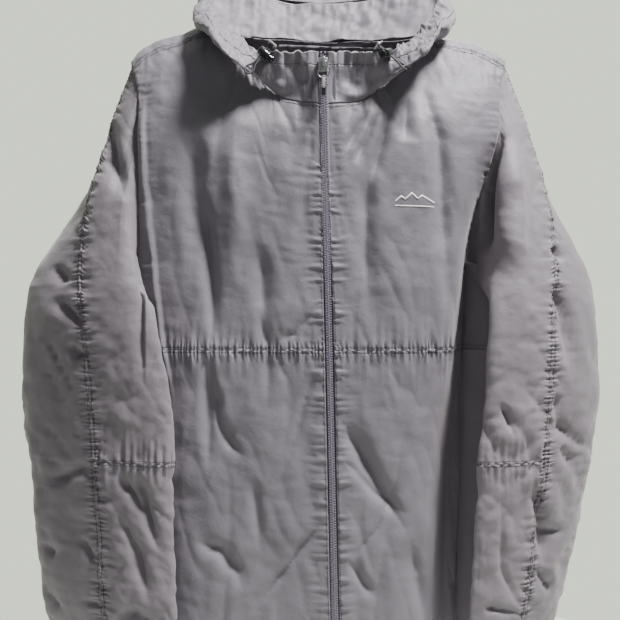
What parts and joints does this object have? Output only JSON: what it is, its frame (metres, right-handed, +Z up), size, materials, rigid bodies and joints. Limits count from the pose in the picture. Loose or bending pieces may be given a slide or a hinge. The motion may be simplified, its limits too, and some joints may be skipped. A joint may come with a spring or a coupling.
{
  "type": "hooded wind jacket",
  "caption": "Thin hooded zip jacket hanging closed, hood down, with gathered seams, elastic cuffs, a moulded front zip and a hood drawcord with spring cord locks.",
  "frame": {"origin": "middle of the neck at the height of the shoulder line's inner ends, where a hanger holds the jacket", "axes": "+Z up, +X to the viewer's right seen from the front, the front with the zip faces -Y; left and right in names are the viewer's"},
  "size_m": [0.66, 0.2308, 0.7979],
  "materials": {
    "shell_fabric": "thin plain-weave nylon, matt with a slight sheen",
    "zip_tape": "woven polyester tape",
    "zip_teeth": "moulded acetal",
    "zip_metal": "satin lacquered zinc",
    "pull_tab": "soft moulded cord grip",
    "lock_plastic": "glossy black nylon",
    "elastic_cord": "braided sleeve over elastic",
    "patch": "woven reinforcement"
  },
  "bodies": {
    "jacket": {"front_upper_left": "shell_fabric", "front_upper_right": "shell_fabric", "front_lower_left": "shell_fabric", "front_lower_right": "shell_fabric", "hem_front_left": "shell_fabric", "hem_front_right": "shell_fabric", "collar_left": "shell_fabric", "collar_right": "shell_fabric", "collar_tunnel_left": "shell_fabric", "collar_tunnel_right": "shell_fabric", "back_yoke": "shell_fabric", "back_lower": "shell_fabric", "hem_back": "shell_fabric", "neck_facing": "shell_fabric", "collar_nape": "shell_fabric", "zip_tape_left": "zip_tape", "zip_tape_right": "zip_tape", "zip_teeth_left": "zip_teeth", "zip_teeth_right": "zip_teeth", "zip_stop_left": "zip_teeth", "zip_stop_right": "zip_teeth", "cord_left": "elastic_cord", "cord_right": "elastic_cord", "cord_patch_left": "patch", "cord_patch_right": "patch", "zip_box": "zip_teeth"},
    "sleeve_left": {"sleeve_left_front_upper": "shell_fabric", "sleeve_left_front_lower": "shell_fabric", "sleeve_left_back": "shell_fabric", "cuff_left": "shell_fabric"},
    "sleeve_right": {"sleeve_right_front_upper": "shell_fabric", "sleeve_right_front_lower": "shell_fabric", "sleeve_right_back": "shell_fabric", "cuff_right": "shell_fabric"},
    "hood": {"hood_side_left": "shell_fabric", "hood_crown": "shell_fabric", "hood_side_right": "shell_fabric", "hood_brim": "shell_fabric"},
    "slider": {"zip_slider": "zip_metal"},
    "puller": {"zip_puller": "zip_metal"},
    "pull_tab": {"zip_pull_tab": "pull_tab"},
    "lock_left": {"lock_left": "lock_plastic"},
    "lock_right": {"lock_right": "lock_plastic"},
    "button_left": {"lock_button_left": "lock_plastic"},
    "button_right": {"lock_button_right": "lock_plastic"}
  },
  "joints": [
    {"name": "zip_slide", "type": "slide", "parent": "jacket", "child": "slider", "axis": [0.0213, 0, -0.9998], "range_m": [0, 0.638]},
    {"name": "puller_hinge", "type": "hinge", "parent": "slider", "child": "puller", "pos_m": [0.00027, -0.073, -0.0545], "axis": [-1, 0, 0], "range_deg": [0, 150]},
    {"name": "pull_tab_hinge", "type": "hinge", "parent": "puller", "child": "pull_tab", "pos_m": [0.00064, -0.073, -0.072], "axis": [-1, 0, 0], "range_deg": [0, 60]},
    {"name": "sleeve_left_lift", "type": "hinge", "parent": "jacket", "child": "sleeve_left", "pos_m": [-0.2215, 0, -0.0365], "axis": [0, 1, 0], "range_deg": [0, 45]},
    {"name": "sleeve_right_lift", "type": "hinge", "parent": "jacket", "child": "sleeve_right", "pos_m": [0.2139, 0, -0.034], "axis": [0, -1, 0], "range_deg": [0, 45]},
    {"name": "hood_lift", "type": "hinge", "parent": "jacket", "child": "hood", "pos_m": [0, 0.02, 0.055], "axis": [1, 0, 0], "range_deg": [0, 60]},
    {"name": "lock_left_slide", "type": "slide", "parent": "jacket", "child": "lock_left", "axis": [-0.6302, -0.2001, -0.7502], "range_m": [0, 0.007]},
    {"name": "button_left_press", "type": "slide", "parent": "lock_left", "child": "button_left", "axis": [-0.7655, -0.0017, 0.6435], "range_m": [0, 0.003], "stiffness_N_per_m": 300},
    {"name": "lock_right_slide", "type": "slide", "parent": "jacket", "child": "lock_right", "axis": [0.7222, -0.2006, -0.662], "range_m": [0, 0.007]},
    {"name": "button_right_press", "type": "slide", "parent": "lock_right", "child": "button_right", "axis": [0.5284, 0.7776, 0.3408], "range_m": [0, 0.003], "stiffness_N_per_m": 300}
  ]
}
